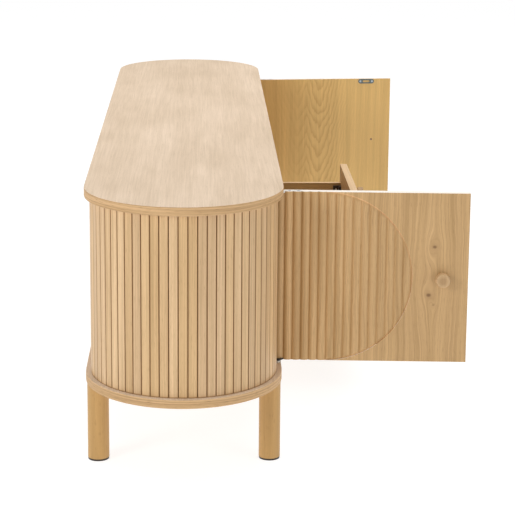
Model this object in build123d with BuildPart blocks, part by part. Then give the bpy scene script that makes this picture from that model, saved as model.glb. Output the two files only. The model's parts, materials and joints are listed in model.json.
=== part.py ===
"""Low media cabinet with half-round slatted ends, two doors, an open niche and a drawer.

Millimetres. +X runs along the cabinet to the right, -Y is the front and +Z is up. The origin is on the
floor, half way along, in the plane of the closed doors' outer faces. The doors stand open and the
drawer is pulled out, which is the cabinet's rest pose.
"""
from build123d import *
import math
import os

# Overall size
LENGTH = 2000
DEPTH = 400
HEIGHT = 575
BOARD_T = 18
BOARD_EDGE_R = 1
OVERHANG = 11

# Legs
LEG_LENGTH = 174
LEG_D = 44
LEG_END_INSET = 198
LEG_SIDE_INSET = 24
FOOT_T = 4
FOOT_INSET = 0.5
LEG_BOLT_R = 4
LEG_BOLT_IN_LEG = 30
INSERT_R = 6
INSERT_LENGTH = 12

# Slatted ends
SLAT_COUNT = 35
SLAT_T = 6
SLAT_GAP = 1.2
SLAT_CHAMFER = 0.7
SLAT_STRAIGHT = 31
GLUE_LINE = 0.1
BACKING_T = 9
FORMER_T = 18

# Partitions, shelves and back
PARTITION_T = 18
INNER_PARTITION_X = 373
BACK_END_GAP = 0.5
FRONT_CLEARANCE = 1
SHELF_T = 16
SHELF_SIDE_GAP = 1
SHELF_FRONT_INSET = 30
SHELF_BACK_GAP = 3
SHELF_RISE = 170
PIN_R = 2.5
PIN_IN = 9
PIN_OUT = 8
PIN_INSET = 40
CABLE_HOLE_R = 25

# Doors
DOOR_T = 18
DOOR_GAP = 3
DOOR_END_GAP = 4
DOOR_PAST_PIVOT = 5
LEFT_OPEN = 93
RIGHT_OPEN = 95
REED_PITCH = 17.4
REED_DEPTH = 3.2
REED_END_RUN = 7
FIRST_CREST = 6.5
FIELD_STRAIGHT = 100.5
FIELD_MARGIN = 20

# Pivot hinges
PIVOT_PROUD = 5
KNUCKLE_R = 4
PIVOT_PIN_R = 2
PIVOT_CLEARANCE = 0.05
LEAF_T = 3
LEAF_W = 9
LEAF_ELBOW = 10
LEAF_END = 42
LEAF_SCREW_INSET = 4
LEAF_SCREW_SPACING = 18
WASHER_R = 3.6
WASHER_CLEARANCE = 0.3

# Knobs
KNOB_R = 14.5
KNOB_LENGTH = 25
KNOB_NECK_R = 7
KNOB_NECK_LENGTH = 8
KNOB_SLOPE = 3
KNOB_ROUND = 4
KNOB_SCREW_IN = 14
DOOR_KNOB_INSET = 53
DRAWER_KNOB_X = 150
DRAWER_KNOB_DROP = 30

# Magnetic catches
STRIKE_L = 46
STRIKE_H = 13
STRIKE_T = 1.2
STRIKE_INSET = 71
STRIKE_DROP = 1
STRIKE_SLOT_L = 20
STRIKE_SLOT_H = 6
STRIKE_SCREW_X = 17
CATCH_DEPTH = 14
CATCH_H = 14
CATCH_GAP = 1
MAGNET_L = 22
MAGNET_H = 8
MAGNET_DEPTH = 6
CATCH_SCREW_X = 17

# Drawer
DRAWER_FRONT_H = 186
DRAWER_SIDE_T = 12
DRAWER_SIDE_DROP = 27
DRAWER_FLOOR_CLEARANCE = 10
DRAWER_LENGTH = 320
DRAWER_BOTTOM_T = 6
DRAWER_BOTTOM_RISE = 10
GROOVE_DEPTH = 6
DRAWER_PULLED = 237
DRAWER_DOWEL_R = 3
DRAWER_DOWEL_IN_FRONT = 10
DRAWER_DOWEL_IN_SIDE = 14
DRAWER_DOWEL_INSET = 8
BLOCK_LEG = 20
BLOCK_H = 18
BLOCK_DROP = 7
BLOCK_SCREW_LENGTH = 15
BLOCK_T = 6

# Drawer runners
RUNNER_SPACE = 13
RUNNER_L = 300
RUNNER_INSET = 4
RUNNER_H = 45
RUNNER_METAL = 1.5
RUNNER_DEPTH = 9.5
RUNNER_PLAY = 0.5
SLIDE_L = 290
SLIDE_METAL = 1.2
SLIDE_STANDOFF = 3.6
SLIDE_DEPTH = 6.4
DRAWER_RUNNER_DEPTH = 6.7
RUNNER_SCREW_LENGTH = 11
RUNNER_SCREW_INSET = 40

# Fasteners
DOWEL_R = 4
DOWEL_IN_BOARD = 11
DOWEL_IN_PARTITION = 13
PARTITION_DOWEL_INSET = 44
SHELF_DOWEL_INSET = 60
SHELF_DOWEL_IN_SHELF = 16
SHELF_DOWEL_IN_PARTITION = 12
SCREW_R = 1.5
SCREW_HEAD_R = 3
SCREW_HEAD_T = 1.2
CATCH_SCREW_LENGTH = 26
LEAF_SCREW_LENGTH = 15
STRIKE_SCREW_LENGTH = 12
BACK_SCREW_LENGTH = 30
BACK_SCREW_INSET = 50
BACK_SHELF_SCREW_INSET = 130
DRAWER_BACK_SCREW_LENGTH = 30
DRAWER_BACK_SCREW_INSET = 20
FIT = 0.05
TIP_GAP = 0.5

# Places worked out from the sizes above
BODY_R = DEPTH / 2 - OVERHANG
MID_Y = BODY_R
END_CENTER_X = LENGTH / 2 - DEPTH / 2
BOTTOM_Z = LEG_LENGTH
INNER_Z0 = BOTTOM_Z + BOARD_T
INNER_Z1 = HEIGHT - BOARD_T
INNER_H = INNER_Z1 - INNER_Z0
MID_Z = (INNER_Z0 + INNER_Z1) / 2
OUTER_FACE_X = END_CENTER_X - SLAT_STRAIGHT
BACKING_R = BODY_R - SLAT_T - GLUE_LINE
FORMER_R = BACKING_R - BACKING_T
CARCASS_Y0 = MID_Y - FORMER_R
CARCASS_Y1 = MID_Y + FORMER_R
SLAT_RUN = math.pi * BODY_R + 2 * SLAT_STRAIGHT
SLAT_PITCH = SLAT_RUN / SLAT_COUNT
INNER_PARTITION_X0 = INNER_PARTITION_X - PARTITION_T / 2
INNER_PARTITION_X1 = INNER_PARTITION_X + PARTITION_T / 2
PARTITION_Y0 = DOOR_T + FRONT_CLEARANCE
NICHE_FLOOR_Z = INNER_Z0 + DOOR_GAP + DRAWER_FRONT_H
NICHE_SHELF_Z0 = NICHE_FLOOR_Z - PARTITION_T
SHELF_Z0 = INNER_Z0 + SHELF_RISE
CABLE_HOLE_Z = (NICHE_FLOOR_Z + INNER_Z1) / 2
COMPARTMENT_X = (OUTER_FACE_X + INNER_PARTITION_X1) / 2
PIVOT_X = OUTER_FACE_X - DOOR_GAP / 2 - DOOR_PAST_PIVOT
DOOR_W = OUTER_FACE_X - INNER_PARTITION_X - DOOR_GAP
DOOR_H = INNER_H - 2 * DOOR_END_GAP
DOOR_X0 = -DOOR_PAST_PIVOT
DOOR_X1 = DOOR_X0 + DOOR_W
DOOR_MID_Y = PIVOT_PROUD + DOOR_T / 2
REED_X0 = DOOR_X0 + FIRST_CREST - REED_PITCH
REED_COUNT = math.ceil((DOOR_X0 + FIELD_STRAIGHT + DOOR_H / 2 - REED_X0) / REED_PITCH) + 1
FRONT_HALF_W = INNER_PARTITION_X - DOOR_GAP / 2
FRONT_Z0 = INNER_Z0 + DOOR_GAP
SIDE_X1 = INNER_PARTITION_X0 - RUNNER_SPACE
SIDE_X0 = SIDE_X1 - DRAWER_SIDE_T
SIDE_Z0 = INNER_Z0 + DRAWER_FLOOR_CLEARANCE
SIDE_Z1 = NICHE_SHELF_Z0 - DRAWER_SIDE_DROP
DRAWER_BOTTOM_Z0 = SIDE_Z0 + DRAWER_BOTTOM_RISE
DRAWER_BOTTOM_Z1 = DRAWER_BOTTOM_Z0 + DRAWER_BOTTOM_T
DRAWER_Y0 = -DRAWER_PULLED
BOX_Y0 = DRAWER_Y0 + DOOR_T
BOX_Y1 = BOX_Y0 + DRAWER_LENGTH
RUNNER_Z = (SIDE_Z0 + SIDE_Z1) / 2
RUNNER_Y0 = DOOR_T + RUNNER_INSET
SIDES = (("left", -1), ("right", 1))
OPEN_ANGLES = {-1: LEFT_OPEN, 1: RIGHT_OPEN}
LEVELS = (-1, 1)
HALF_TURN = 180

os.makedirs("parts", exist_ok=True)


def save(part, name):
    """Label a finished piece and write it as one STEP file."""
    part.label = name
    export_step(part, f"parts/{name}.step")


# Shapes that many pieces share

def prism(outline, height, mode=Mode.ADD):
    """Extrude a finished outline in the part being built."""
    extrude(outline, amount=height, mode=mode)


def block(x_span, y_span, z_span, mode=Mode.ADD):
    """Add or cut an upright rectangular block between the given limits."""
    with BuildSketch(Plane.XY.offset(z_span[0])) as outline:
        with Locations((sum(x_span) / 2, sum(y_span) / 2)):
            Rectangle(x_span[1] - x_span[0], y_span[1] - y_span[0])
    prism(outline.sketch, z_span[1] - z_span[0], mode)


def rod(plane, radius, start, end, mode=Mode.ADD):
    """Add or cut a round bar along a plane's normal, from start to end."""
    with BuildSketch(plane.offset(start)) as outline:
        Circle(radius)
    prism(outline.sketch, end - start, mode)


def screw(plane, length, growth=0, mode=Mode.ADD):
    """Add a screw with its head's top in the plane, pointing against its normal, or cut its hole."""
    rod(plane, SCREW_HEAD_R + growth, -SCREW_HEAD_T, 0, mode)
    rod(plane, SCREW_R + growth, -length - growth, -SCREW_HEAD_T / 2, mode)


def screw_hole(plane, length):
    """Cut the hole that a screw of this length fills."""
    screw(plane, length, FIT, Mode.SUBTRACT)


def dowel_hole(plane, radius, depth):
    """Cut a blind round hole into the face in this plane, against its normal."""
    rod(plane, radius + FIT, -depth - TIP_GAP, 0, Mode.SUBTRACT)


def spread(start, end, inset):
    """Three places along a span: one in from each end, and one half way."""
    return (start + inset, (start + end) / 2, end - inset)


def facing(point, direction):
    """A plane at a point, with its normal along a direction."""
    return Plane(origin=point, z_dir=direction)


def mirrored(sign, near, far):
    """A span along X between two distances from the middle, on the side that sign gives."""
    return sorted((sign * near, sign * far))


# Frames that follow the doors

def hinge_frame(sign, angle, rise):
    """A door's frame: origin on the pivot, x along the door, y through it towards its inner face."""
    turn = math.radians(angle)
    along = (-sign * math.cos(turn), -math.sin(turn), 0)
    return Plane(origin=(sign * PIVOT_X, -PIVOT_PROUD, MID_Z + rise), x_dir=along, z_dir=(0, 0, -sign))


def door_frame(sign, rise=0):
    """The hinge frame of a door in its open place."""
    return hinge_frame(sign, OPEN_ANGLES[sign], rise)


def face_plane(sign, x, rise, inner):
    """A plane on a door's inner or outer face, with its normal out of the door."""
    frame = door_frame(sign, rise)
    depth = PIVOT_PROUD + DOOR_T if inner else PIVOT_PROUD
    point = frame.from_local_coords((x, depth, 0))
    normal = frame.y_dir if inner else -frame.y_dir
    return Plane(origin=point, x_dir=frame.x_dir, z_dir=normal)


# Where the fasteners sit

def partition_dowels(level):
    """The planes of the dowels between the partitions and one board, facing into the partition."""
    z = INNER_Z0 if level < 0 else INNER_Z1
    outer_mid = OUTER_FACE_X + PARTITION_T / 2
    return [
        facing((sign * x, y, z), (0, 0, -level))
        for _, sign in SIDES
        for x in (INNER_PARTITION_X, outer_mid)
        for y in spread(PARTITION_Y0, CARCASS_Y1, PARTITION_DOWEL_INSET)
    ]


def shelf_dowels(sign):
    """The planes of the dowels at one end of the niche shelf, facing away from the middle."""
    z = NICHE_SHELF_Z0 + PARTITION_T / 2
    depths = (PARTITION_Y0 + SHELF_DOWEL_INSET, CARCASS_Y1 - SHELF_DOWEL_INSET)
    return [facing((sign * INNER_PARTITION_X0, y, z), (sign, 0, 0)) for y in depths]


def pin_planes(sign, x, outward):
    """The shelf pins on a partition's compartment face, outward being 1 away from the middle."""
    depths = (SHELF_FRONT_INSET + PIN_INSET, CARCASS_Y1 - SHELF_BACK_GAP - PIN_INSET)
    return [facing((sign * x, y, SHELF_Z0 - PIN_R), (sign * outward, 0, 0)) for y in depths]


def leaf_screw_planes(sign, level, on_door):
    """The screw planes of one hinge leaf, on the door or on the board that it faces."""
    angle = OPEN_ANGLES[sign] if on_door else 0
    face_rise = DOOR_H / 2 if on_door else INNER_H / 2
    frame = hinge_frame(sign, angle, level * face_rise)
    normal = (0, 0, level if on_door else -level)
    far = LEAF_END - LEAF_SCREW_INSET
    places = (far - LEAF_SCREW_SPACING, far)
    return [facing(frame.from_local_coords((x, DOOR_MID_Y, 0)), normal) for x in places]


def leg_points():
    """The four leg centres on the underside of the bottom board, with their names."""
    x = LENGTH / 2 - LEG_END_INSET
    y = DEPTH / 2 - LEG_SIDE_INSET
    return {
        f"leg_{row}_{side}": (sign * x, MID_Y + row_sign * y, BOTTOM_Z)
        for side, sign in SIDES
        for row, row_sign in (("front", -1), ("back", 1))
    }


def catch_center(sign):
    """The middle of a catch's front face, where the closed door's strike plate meets it."""
    x = sign * (PIVOT_X - DOOR_X1 + STRIKE_INSET)
    return (x, DOOR_T + STRIKE_T + CATCH_GAP, INNER_Z1 - CATCH_H / 2)


def catch_screw_planes(sign):
    """The screws that hold a catch up to the top board."""
    x, y, _ = catch_center(sign)
    z = INNER_Z1 - CATCH_H
    return [
        facing((x + offset, y + CATCH_DEPTH / 2, z), (0, 0, -1))
        for offset in (-CATCH_SCREW_X, CATCH_SCREW_X)
    ]


def knob_screw_plane(sign):
    """The screw of a door's knob, driven from the door's inner face."""
    return face_plane(sign, DOOR_X1 - DOOR_KNOB_INSET, 0, inner=True)


def strike_plane(sign):
    """The middle of a strike plate's seat on the door's inner face."""
    rise = DOOR_H / 2 - STRIKE_DROP - STRIKE_H / 2
    return face_plane(sign, DOOR_X1 - STRIKE_INSET, rise, inner=True)


def strike_screw_planes(sign):
    """The two screws of a strike plate, heads flush with the plate."""
    seat = strike_plane(sign)
    return [
        Plane(origin=seat.from_local_coords((x, 0, STRIKE_T)), x_dir=seat.x_dir, z_dir=seat.z_dir)
        for x in (-STRIKE_SCREW_X, STRIKE_SCREW_X)
    ]


def back_screw_planes():
    """The screws through the back panel into the inner partitions and the niche shelf."""
    y = CARCASS_Y1 + BACKING_T
    uprights = [
        facing((sign * INNER_PARTITION_X, y, z), (0, 1, 0))
        for _, sign in SIDES
        for z in spread(INNER_Z0, INNER_Z1, BACK_SCREW_INSET)
    ]
    shelf_z = NICHE_SHELF_Z0 + PARTITION_T / 2
    places = spread(-INNER_PARTITION_X0, INNER_PARTITION_X0, BACK_SHELF_SCREW_INSET)
    return uprights + [facing((x, y, shelf_z), (0, 1, 0)) for x in places]


def drawer_knob_points():
    """The middles of the drawer's knobs on its outer face."""
    return [(x, DRAWER_Y0, NICHE_FLOOR_Z - DRAWER_KNOB_DROP) for x in (-DRAWER_KNOB_X, DRAWER_KNOB_X)]


def drawer_dowel_planes(sign):
    """The dowels between a drawer side and the drawer front, facing back."""
    x = sign * (SIDE_X0 + SIDE_X1) / 2
    heights = (DRAWER_BOTTOM_Z1 + DRAWER_DOWEL_INSET, SIDE_Z1 - DRAWER_DOWEL_INSET)
    return [facing((x, BOX_Y0, z), (0, 1, 0)) for z in heights]


def drawer_back_screw_planes(sign):
    """The screws through a drawer side into the drawer back."""
    y = BOX_Y1 - DRAWER_SIDE_T / 2
    heights = (DRAWER_BOTTOM_Z1 + DRAWER_BACK_SCREW_INSET, SIDE_Z1 - DRAWER_BACK_SCREW_INSET)
    return [facing((sign * SIDE_X1, y, z), (sign, 0, 0)) for z in heights]


def case_runner_screw_planes(sign):
    """The screws that hold a fixed runner to its partition."""
    x = sign * (INNER_PARTITION_X0 - RUNNER_METAL - SCREW_HEAD_T)
    places = spread(RUNNER_Y0, RUNNER_Y0 + RUNNER_L, RUNNER_SCREW_INSET)
    return [facing((x, y, RUNNER_Z), (-sign, 0, 0)) for y in places]


def drawer_runner_screw_planes(sign):
    """The screws that hold a moving runner to its drawer side."""
    x = sign * (SIDE_X1 + RUNNER_METAL + SCREW_HEAD_T)
    start = RUNNER_Y0 - DRAWER_PULLED
    places = spread(start, start + RUNNER_L, RUNNER_SCREW_INSET)
    return [facing((x, y, RUNNER_Z), (sign, 0, 0)) for y in places]


def block_screw_planes(sign):
    """The two screws of a drawer corner block: one into the side, one into the front."""
    z = SIDE_Z1 - BLOCK_DROP - BLOCK_H / 2
    middle = (BLOCK_LEG + BLOCK_T) / 2
    to_side = facing((sign * (SIDE_X0 - BLOCK_T), BOX_Y0 + middle, z), (-sign, 0, 0))
    to_front = facing((sign * (SIDE_X0 - middle), BOX_Y0 + BLOCK_T, z), (0, 1, 0))
    return [to_side, to_front]


# Outlines

def leaf_outline(frame, growth):
    """A hinge leaf seen from above: the knuckle on the pivot, drawn in to a slot-shaped plate."""
    with BuildSketch(frame) as outline:
        Circle(KNUCKLE_R + growth)
        with Locations((LEAF_ELBOW, DOOR_MID_Y)):
            Circle(LEAF_W / 2 + growth)
        make_hull()
        with Locations(((LEAF_ELBOW + LEAF_END) / 2, DOOR_MID_Y)):
            SlotCenterToCenter(LEAF_END - LEAF_ELBOW, LEAF_W + 2 * growth)
    return outline.sketch


def end_outline(sign, radius, inner_x, z):
    """The half-round end of the cabinet at some radius, run straight on as far as inner_x."""
    center_x = sign * END_CENTER_X
    tip = (sign * (END_CENTER_X + radius), MID_Y)
    with BuildSketch(Plane.XY.offset(z)) as outline:
        with BuildLine():
            Line((sign * inner_x, MID_Y - radius), (center_x, MID_Y - radius))
            ThreePointArc((center_x, MID_Y - radius), tip, (center_x, MID_Y + radius))
            Line((center_x, MID_Y + radius), (sign * inner_x, MID_Y + radius))
            Line((sign * inner_x, MID_Y + radius), (sign * inner_x, MID_Y - radius))
        make_face()
    return outline.sketch


def board_outline(z):
    """The outline of the top and bottom boards."""
    with BuildSketch(Plane.XY.offset(z)) as outline:
        with Locations((0, MID_Y)):
            SlotOverall(LENGTH, DEPTH)
    return outline.sketch


def knob_outline(plane):
    """Half of a knob's section: a neck, a sloping shoulder and a head with a rounded edge."""
    rim = KNOB_LENGTH - KNOB_ROUND
    shoulder = KNOB_NECK_LENGTH + KNOB_SLOPE
    with BuildSketch(plane) as outline:
        with BuildLine():
            Line((0, 0), (KNOB_NECK_R, 0))
            Line((KNOB_NECK_R, 0), (KNOB_NECK_R, KNOB_NECK_LENGTH))
            Line((KNOB_NECK_R, KNOB_NECK_LENGTH), (KNOB_R, shoulder))
            Line((KNOB_R, shoulder), (KNOB_R, rim))
            RadiusArc((KNOB_R, rim), (KNOB_R - KNOB_ROUND, KNOB_LENGTH), -KNOB_ROUND)
            Line((KNOB_R - KNOB_ROUND, KNOB_LENGTH), (0, KNOB_LENGTH))
            Line((0, KNOB_LENGTH), (0, 0))
        make_face()
    return outline.sketch


# Boards

def leaf_pocket(sign, level, on_door):
    """Cut the pocket and screw holes for a hinge leaf into a door's edge or a board's face."""
    angle = OPEN_ANGLES[sign] if on_door else 0
    inward = -LEAF_T / 2 if on_door else LEAF_T / 2
    face_rise = DOOR_H / 2 if on_door else INNER_H / 2
    frame = hinge_frame(sign, angle, level * (face_rise + inward))
    extrude(leaf_outline(frame, FIT), amount=LEAF_T / 2, both=True, mode=Mode.SUBTRACT)
    for plane in leaf_screw_planes(sign, level, on_door):
        screw_hole(plane, LEAF_SCREW_LENGTH)


def board_fittings(level):
    """Cut what both boards hold: partition dowels and the case leaves of the hinges."""
    for plane in partition_dowels(level):
        dowel_hole(plane, DOWEL_R, DOWEL_IN_BOARD)
    for _, sign in SIDES:
        leaf_pocket(sign, level, on_door=False)


with BuildPart() as top_panel:
    prism(board_outline(INNER_Z1), BOARD_T)
    fillet(top_panel.edges().filter_by(Plane.XY), BOARD_EDGE_R)
    board_fittings(1)
    for _, sign in SIDES:
        for plane in catch_screw_planes(sign):
            screw_hole(plane, CATCH_SCREW_LENGTH)
save(top_panel.part, "top_panel")

with BuildPart() as bottom_panel:
    prism(board_outline(BOTTOM_Z), BOARD_T)
    fillet(bottom_panel.edges().filter_by(Plane.XY), BOARD_EDGE_R)
    board_fittings(-1)
    for point in leg_points().values():
        rod(facing(point, (0, 0, 1)), INSERT_R + FIT, 0, INSERT_LENGTH + TIP_GAP, Mode.SUBTRACT)
save(bottom_panel.part, "bottom_panel")

# Slatted ends


def slat_place(sign, travel):
    """Where one slat stands: its outer face's middle, and the turn that faces it outward."""
    half_arc = math.pi / 2 * BODY_R
    turn = max(-half_arc, min(half_arc, travel)) / BODY_R
    straight = abs(travel - turn * BODY_R)
    x = sign * (END_CENTER_X - straight + BODY_R * math.cos(turn))
    y = MID_Y + BODY_R * math.sin(turn)
    facing_turn = math.degrees(turn) if sign > 0 else HALF_TURN - math.degrees(turn)
    return Location((x, y, 0), (0, 0, facing_turn))


def slat_section():
    """One slat seen from above, its outer face across x = 0 and its two outer corners eased."""
    half = (SLAT_PITCH - SLAT_GAP) / 2
    return [
        (-SLAT_T, -half),
        (-SLAT_CHAMFER, -half),
        (0, -half + SLAT_CHAMFER),
        (0, half - SLAT_CHAMFER),
        (-SLAT_CHAMFER, half),
        (-SLAT_T, half),
    ]


for side, sign in SIDES:
    with BuildPart() as end_backing:
        prism(end_outline(sign, BACKING_R, OUTER_FACE_X, INNER_Z0), INNER_H)
        prism(end_outline(sign, FORMER_R, OUTER_FACE_X, INNER_Z0), INNER_H, Mode.SUBTRACT)
    save(end_backing.part, f"{side}_end_backing")

    with BuildPart() as end_formers:
        for z in (INNER_Z0, INNER_Z1 - FORMER_T):
            prism(end_outline(sign, FORMER_R - GLUE_LINE, OUTER_FACE_X + PARTITION_T, z), FORMER_T)
    save(end_formers.part, f"{side}_end_formers")

    with BuildPart() as end_slats:
        with BuildSketch(Plane.XY.offset(INNER_Z0)):
            for index in range(SLAT_COUNT):
                with Locations(slat_place(sign, (index - (SLAT_COUNT - 1) / 2) * SLAT_PITCH)):
                    Polygon(*slat_section(), align=None)
        extrude(amount=INNER_H)
    save(end_slats.part, f"{side}_end_slats")

# Partitions, shelves and back

for side, sign in SIDES:
    with BuildPart() as outer_partition:
        reach = mirrored(sign, OUTER_FACE_X, OUTER_FACE_X + PARTITION_T)
        block(reach, (CARCASS_Y0, CARCASS_Y1), (INNER_Z0, INNER_Z1))
        for level in LEVELS:
            for plane in partition_dowels(level):
                rod(plane, DOWEL_R + FIT, 0, DOWEL_IN_PARTITION + TIP_GAP, Mode.SUBTRACT)
        for plane in pin_planes(sign, OUTER_FACE_X, -1):
            dowel_hole(plane, PIN_R, PIN_IN)
    save(outer_partition.part, f"{side}_outer_partition")

    with BuildPart() as inner_partition:
        reach = mirrored(sign, INNER_PARTITION_X0, INNER_PARTITION_X1)
        block(reach, (PARTITION_Y0, CARCASS_Y1), (INNER_Z0, INNER_Z1))
        for level in LEVELS:
            for plane in partition_dowels(level):
                rod(plane, DOWEL_R + FIT, 0, DOWEL_IN_PARTITION + TIP_GAP, Mode.SUBTRACT)
        for plane in pin_planes(sign, INNER_PARTITION_X1, 1):
            dowel_hole(plane, PIN_R, PIN_IN)
        for plane in shelf_dowels(sign):
            rod(plane, DOWEL_R + FIT, 0, SHELF_DOWEL_IN_PARTITION + TIP_GAP, Mode.SUBTRACT)
        for plane in case_runner_screw_planes(sign):
            screw_hole(plane, RUNNER_SCREW_LENGTH)
        for plane in back_screw_planes():
            screw_hole(plane, BACK_SCREW_LENGTH)
    save(inner_partition.part, f"{side}_inner_partition")

    with BuildPart() as compartment_shelf:
        reach = mirrored(sign, INNER_PARTITION_X1 + SHELF_SIDE_GAP, OUTER_FACE_X - SHELF_SIDE_GAP)
        depth = (SHELF_FRONT_INSET, CARCASS_Y1 - SHELF_BACK_GAP)
        block(reach, depth, (SHELF_Z0, SHELF_Z0 + SHELF_T))
    save(compartment_shelf.part, f"{side}_compartment_shelf")

with BuildPart() as shelf_pins:
    for _, sign in SIDES:
        for x, outward in ((OUTER_FACE_X, -1), (INNER_PARTITION_X1, 1)):
            for plane in pin_planes(sign, x, outward):
                rod(plane, PIN_R, -PIN_IN, PIN_OUT)
save(shelf_pins.part, "shelf_pins")

with BuildPart() as niche_shelf:
    reach = (-INNER_PARTITION_X0, INNER_PARTITION_X0)
    block(reach, (PARTITION_Y0, CARCASS_Y1), (NICHE_SHELF_Z0, NICHE_FLOOR_Z))
    for _, sign in SIDES:
        for plane in shelf_dowels(sign):
            dowel_hole(plane, DOWEL_R, SHELF_DOWEL_IN_SHELF)
    for plane in back_screw_planes():
        screw_hole(plane, BACK_SCREW_LENGTH)
save(niche_shelf.part, "niche_shelf")

with BuildPart() as back_panel:
    half = OUTER_FACE_X - BACK_END_GAP
    block((-half, half), (CARCASS_Y1, CARCASS_Y1 + BACKING_T), (INNER_Z0, INNER_Z1))
    for x in (-COMPARTMENT_X, 0, COMPARTMENT_X):
        rod(facing((x, CARCASS_Y1, CABLE_HOLE_Z), (0, 1, 0)), CABLE_HOLE_R, 0, BACKING_T, Mode.SUBTRACT)
    for plane in back_screw_planes():
        screw_hole(plane, BACK_SCREW_LENGTH)
save(back_panel.part, "back_panel")

with BuildPart() as panel_dowels:
    for level in LEVELS:
        for plane in partition_dowels(level):
            rod(plane, DOWEL_R, -DOWEL_IN_BOARD, DOWEL_IN_PARTITION)
save(panel_dowels.part, "panel_dowels")

with BuildPart() as shelf_dowel_group:
    for _, sign in SIDES:
        for plane in shelf_dowels(sign):
            rod(plane, DOWEL_R, -SHELF_DOWEL_IN_SHELF, SHELF_DOWEL_IN_PARTITION)
save(shelf_dowel_group.part, "shelf_dowels")

with BuildPart() as back_screws:
    for plane in back_screw_planes():
        screw(plane, BACK_SCREW_LENGTH)
save(back_screws.part, "back_screws")

# Legs

for name, point in leg_points().items():
    with BuildPart() as leg:
        rod(facing(point, (0, 0, -1)), LEG_D / 2, 0, LEG_LENGTH - FOOT_T)
        rod(facing(point, (0, 0, -1)), LEG_BOLT_R + FIT, 0, LEG_BOLT_IN_LEG + TIP_GAP, Mode.SUBTRACT)
    save(leg.part, name)

with BuildPart() as foot_pads:
    for x, y, _ in leg_points().values():
        rod(facing((x, y, 0), (0, 0, 1)), LEG_D / 2 - FOOT_INSET, 0, FOOT_T)
save(foot_pads.part, "foot_pads")

with BuildPart() as leg_inserts:
    for point in leg_points().values():
        rod(facing(point, (0, 0, 1)), INSERT_R, 0, INSERT_LENGTH)
        rod(facing(point, (0, 0, 1)), LEG_BOLT_R + FIT, 0, INSERT_LENGTH, Mode.SUBTRACT)
save(leg_inserts.part, "leg_inserts")

with BuildPart() as leg_bolts:
    for point in leg_points().values():
        rod(facing(point, (0, 0, 1)), LEG_BOLT_R, -LEG_BOLT_IN_LEG, INSERT_LENGTH)
save(leg_bolts.part, "leg_bolts")

# Doors


def reed_valleys(frame):
    """What lies between the reeds, seen along them: a strip less one round crest for each reed."""
    crest_r = ((REED_PITCH / 2) ** 2 + REED_DEPTH ** 2) / (2 * REED_DEPTH)
    strip = REED_PITCH * (REED_COUNT - 1)
    with BuildSketch(frame) as section:
        with Locations((REED_X0 + strip / 2, PIVOT_PROUD + REED_DEPTH / 2)):
            Rectangle(strip, REED_DEPTH)
        for index in range(REED_COUNT):
            with Locations((REED_X0 + index * REED_PITCH, PIVOT_PROUD + crest_r)):
                Circle(crest_r, mode=Mode.SUBTRACT)
    return section.sketch


def field_outline(face):
    """The reeded field on a door's face: straight from the hinge edge, then half round."""
    center_x = DOOR_X0 + FIELD_STRAIGHT
    start_x = DOOR_X0 - FIELD_MARGIN
    with BuildSketch(face) as outline:
        with Locations(((start_x + center_x) / 2, 0)):
            Rectangle(center_x - start_x, DOOR_H + 2 * FIELD_MARGIN)
        with Locations((center_x, 0)):
            Circle(DOOR_H / 2)
    return outline.sketch


def reed_field(sign):
    """The wood cut from between a door's reeds, as far as the field's outline."""
    face = face_plane(sign, 0, 0, inner=False)
    valleys = extrude(reed_valleys(door_frame(sign)), amount=DOOR_H, both=True, mode=Mode.PRIVATE)
    field = extrude(field_outline(face), amount=-REED_DEPTH, mode=Mode.PRIVATE)
    return valleys & field


def cut_reed_ends(sign):
    """Slope the reeds' ends down to their feet, all along the field's half-round edge."""
    face = face_plane(sign, DOOR_X0 + FIELD_STRAIGHT, 0, inner=False)
    radius = DOOR_H / 2
    with BuildSketch(Plane(origin=face.origin, x_dir=-face.y_dir, z_dir=-face.x_dir)) as ramp:
        Polygon((radius, 0), (radius, -REED_DEPTH), (radius - REED_END_RUN, 0), align=None)
    revolve(ramp.sketch, axis=Axis(face.origin, face.z_dir), revolution_arc=HALF_TURN, mode=Mode.SUBTRACT)


def add_knob(face):
    """Add a turned knob standing on a face, with the blind hole for its screw."""
    section = Plane(origin=face.origin, x_dir=face.x_dir, z_dir=face.x_dir.cross(face.z_dir))
    revolve(knob_outline(section), axis=Axis(face.origin, face.z_dir))
    rod(face, SCREW_R + FIT, 0, KNOB_SCREW_IN + TIP_GAP, Mode.SUBTRACT)


for side, sign in SIDES:
    outer_face = face_plane(sign, DOOR_X1 - DOOR_KNOB_INSET, 0, inner=False)
    with BuildPart() as door:
        with BuildSketch(door_frame(sign)):
            with Locations((DOOR_X0 + DOOR_W / 2, DOOR_MID_Y)):
                Rectangle(DOOR_W, DOOR_T)
        extrude(amount=DOOR_H / 2, both=True)
        add(reed_field(sign), mode=Mode.SUBTRACT)
        cut_reed_ends(sign)
        for level in LEVELS:
            leaf_pocket(sign, level, on_door=True)
        screw_hole(knob_screw_plane(sign), DOOR_T + KNOB_SCREW_IN)
        for plane in strike_screw_planes(sign):
            screw_hole(plane, STRIKE_SCREW_LENGTH)
    save(door.part, f"{side}_door")

    with BuildPart() as door_knob:
        add_knob(outer_face)
    save(door_knob.part, f"{side}_door_knob")

    with BuildPart() as knob_screw:
        screw(knob_screw_plane(sign), DOOR_T + KNOB_SCREW_IN)
    save(knob_screw.part, f"{side}_door_knob_screw")

    seat = strike_plane(sign)
    with BuildPart() as strike_plate:
        with BuildSketch(seat):
            SlotOverall(STRIKE_L, STRIKE_H)
            SlotOverall(STRIKE_SLOT_L, STRIKE_SLOT_H, mode=Mode.SUBTRACT)
        extrude(amount=STRIKE_T)
        for plane in strike_screw_planes(sign):
            screw_hole(plane, STRIKE_SCREW_LENGTH)
    save(strike_plate.part, f"{side}_strike_plate")


# Pivot hinges

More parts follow.
